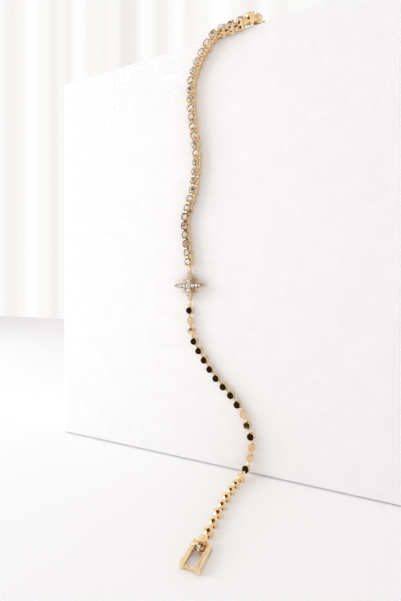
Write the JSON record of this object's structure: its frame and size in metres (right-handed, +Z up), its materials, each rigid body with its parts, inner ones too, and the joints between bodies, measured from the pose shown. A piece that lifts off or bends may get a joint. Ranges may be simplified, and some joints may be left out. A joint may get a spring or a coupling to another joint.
{
  "type": "bracelet draped on a display block",
  "caption": "Fine gold bracelet, half tennis chain and half mirror-faced drum beads, joined by an eight-point stone star, draped over a plain white display block.",
  "frame": {"origin": "middle of the display block's base", "axes": "+Z up, the block's face with the bracelet looks towards -Y, +X to the right of that face"},
  "size_m": [0.1, 0.0789, 0.103],
  "materials": {
    "gold_settings": "gold-plated cast settings, bright polish",
    "gold_beads": "gold-plated, diamond-turned mirror faces",
    "gold_clasp": "gold-plated, fine polish",
    "stones": "clear brilliant-cut stone",
    "block_cover": "white fine-grained covering paper, matt"
  },
  "bodies": {
    "root": {"display_block": "block_cover", "tennis_chain": "gold_settings", "bead_chain": "gold_beads", "star_body": "gold_settings", "star_stone_centre": "stones", "star_stone_up_1": "stones", "star_stone_up_2": "stones", "star_stone_up_3": "stones", "star_stone_left_1": "stones", "star_stone_left_2": "stones", "star_stone_left_3": "stones", "star_stone_down_1": "stones", "star_stone_down_2": "stones", "star_stone_down_3": "stones", "star_stone_right_1": "stones", "star_stone_right_2": "stones", "star_stone_right_3": "stones", "link_above_star": "gold_settings", "link_below_star": "gold_settings", "link_at_clasp": "gold_settings", "clasp_frame": "gold_clasp", "link_at_hook": "gold_settings", "clasp_hook": "gold_clasp"}
  },
  "joints": []
}
